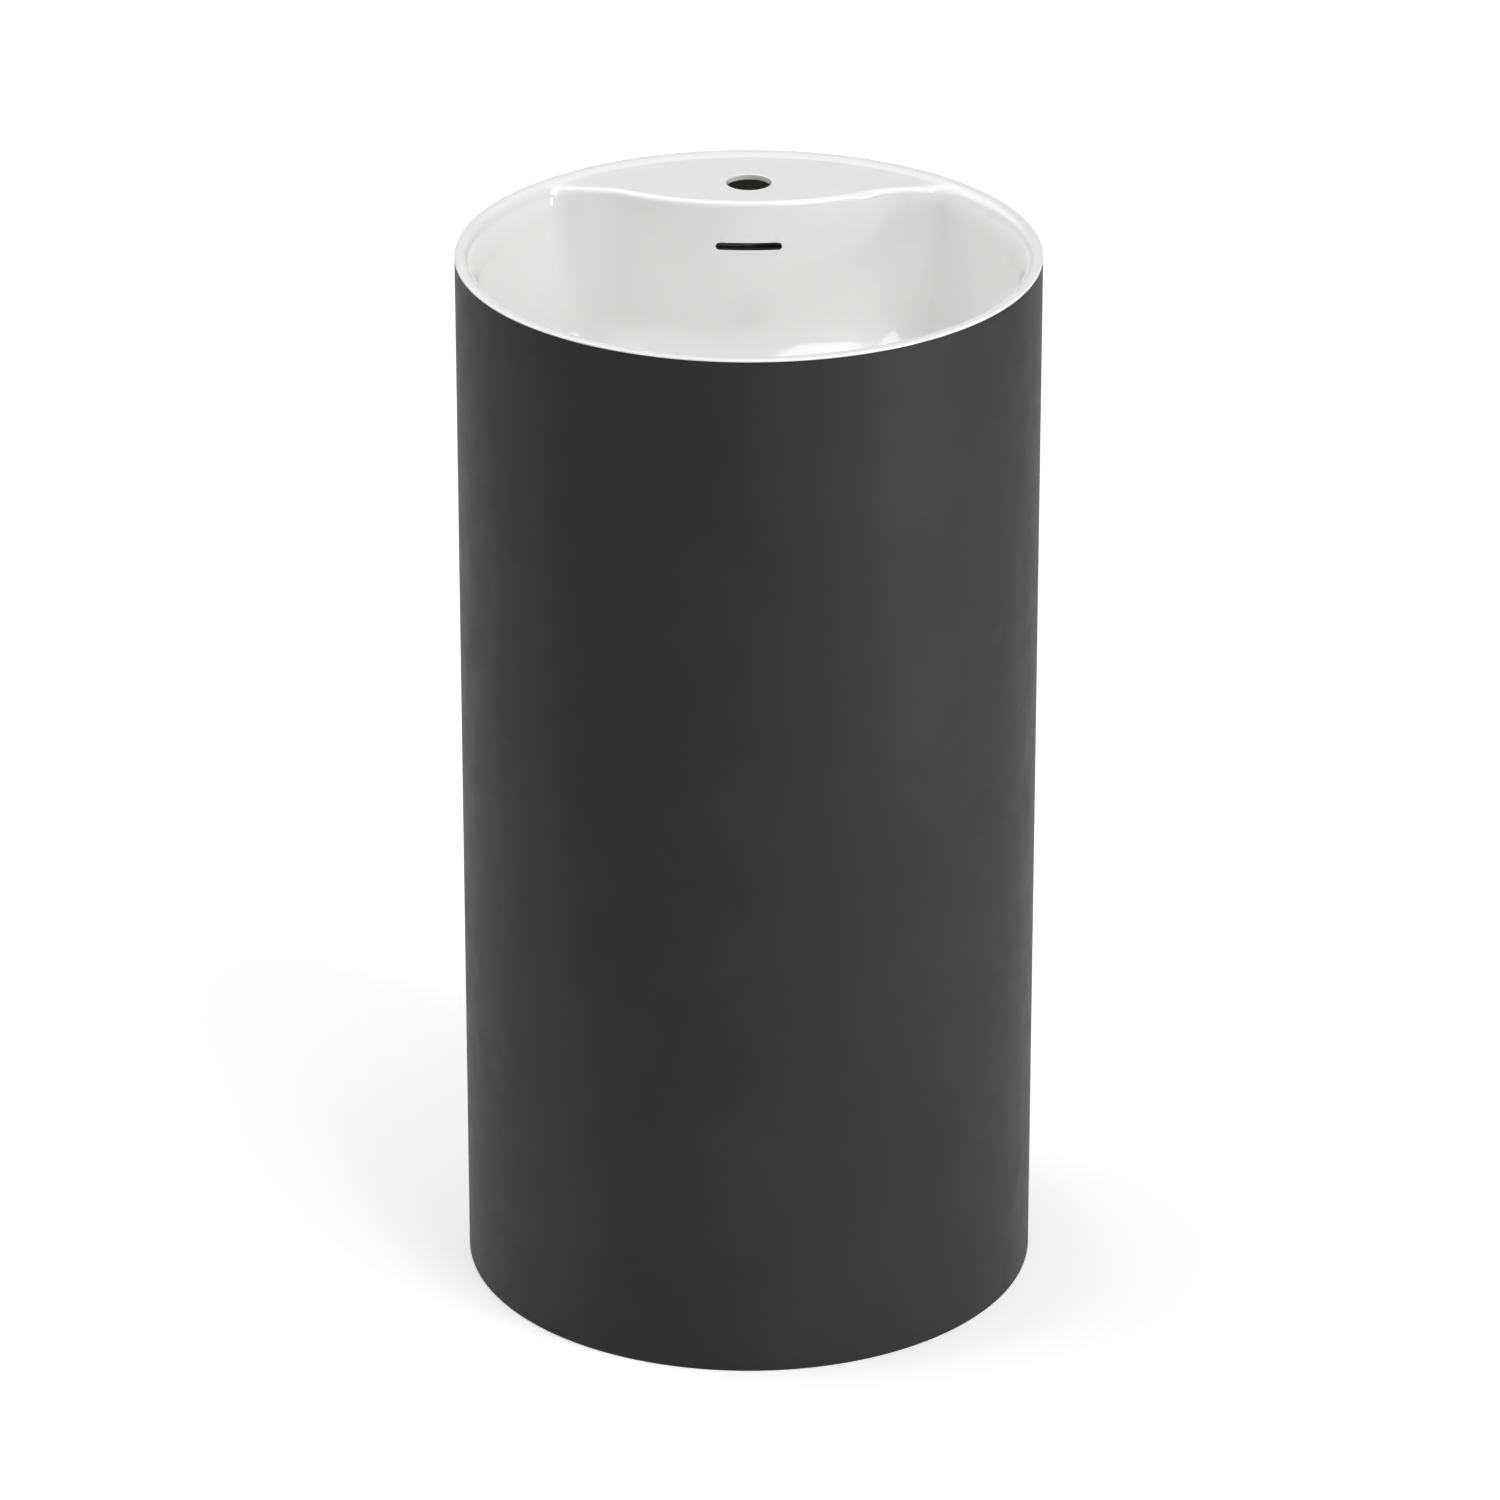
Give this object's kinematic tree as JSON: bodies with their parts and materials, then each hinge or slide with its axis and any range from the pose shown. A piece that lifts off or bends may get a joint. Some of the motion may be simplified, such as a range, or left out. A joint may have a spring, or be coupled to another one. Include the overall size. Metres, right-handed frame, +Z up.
{
  "type": "pedestal sink",
  "caption": "Free-standing cylindrical pedestal sink: matt black tubular shell, gloss white bowl with a rear tap deck and overflow slot, click-clack waste, bottle trap and floor brackets.",
  "frame": {"origin": "centre of the round base, on the floor", "axes": "+Z up along the cylinder's axis, -Y towards the user at the front of the bowl, +Y towards the wall behind the tap deck, +X to the right of a user who faces the wall"},
  "size_m": [0.45, 0.45, 0.85],
  "materials": {
    "shell_matt_black": "matte",
    "basin_gloss_white": "gloss",
    "raw_casting": "matte",
    "cast_grey": "matte",
    "chrome": "polished",
    "brass": "satin",
    "rubber": "matte",
    "black_plastic": "satin",
    "white_plastic": "satin",
    "spring_steel": "satin",
    "zinc_steel": "satin"
  },
  "bodies": {
    "sink": {"shell": "shell_matt_black", "basin": "basin_gloss_white", "overflow_channel": "raw_casting", "waste_body": "chrome", "waste_top_gasket": "rubber", "waste_bottom_gasket": "rubber", "waste_locknut": "brass", "plug_housing": "black_plastic", "plug_spring": "spring_steel", "trap_union_nut": "white_plastic", "trap_union_washer": "rubber", "trap_inlet_tube": "white_plastic", "trap_inlet_nut": "white_plastic", "trap_inlet_cone_washer": "rubber", "trap_head": "white_plastic", "trap_outlet_nut": "white_plastic", "trap_outlet_cone_washer": "rubber", "outlet_pipe": "white_plastic", "fixing_block_right": "cast_grey", "fixing_block_left": "cast_grey", "threaded_insert_right": "brass", "threaded_insert_left": "brass", "floor_bracket_right": "zinc_steel", "floor_bracket_left": "zinc_steel", "bracket_washer_right": "zinc_steel", "bracket_washer_left": "zinc_steel", "bracket_screw_right": "zinc_steel", "bracket_screw_left": "zinc_steel"},
    "plug": {"plug_cap": "chrome", "plug_seal": "rubber", "plug_stem": "black_plastic"},
    "cup_seal": {"trap_cup_seal": "rubber"},
    "cup": {"trap_cup": "white_plastic"}
  },
  "joints": [
    {"name": "plug_travel", "type": "slide", "parent": "sink", "child": "plug", "axis": [0, 0, 1], "range_m": [-0.009, 0], "stiffness_N_per_m": 600, "springref_m": 0.005, "deforming": ["plug_spring"]},
    {"name": "cup_drop", "type": "slide", "parent": "sink", "child": "cup_seal", "axis": [0, 0, 1], "range_m": [-0.0096, 0]},
    {"name": "cup_turn", "type": "hinge", "parent": "cup_seal", "child": "cup", "pos_m": [0, -0.045, 0.438], "axis": [0, 0, 1], "range_deg": [-1080, 0]}
  ],
  "couplings": [
    {"joint": "cup_drop", "follows": "cup_turn", "m_per_rad": 0.0005093}
  ]
}
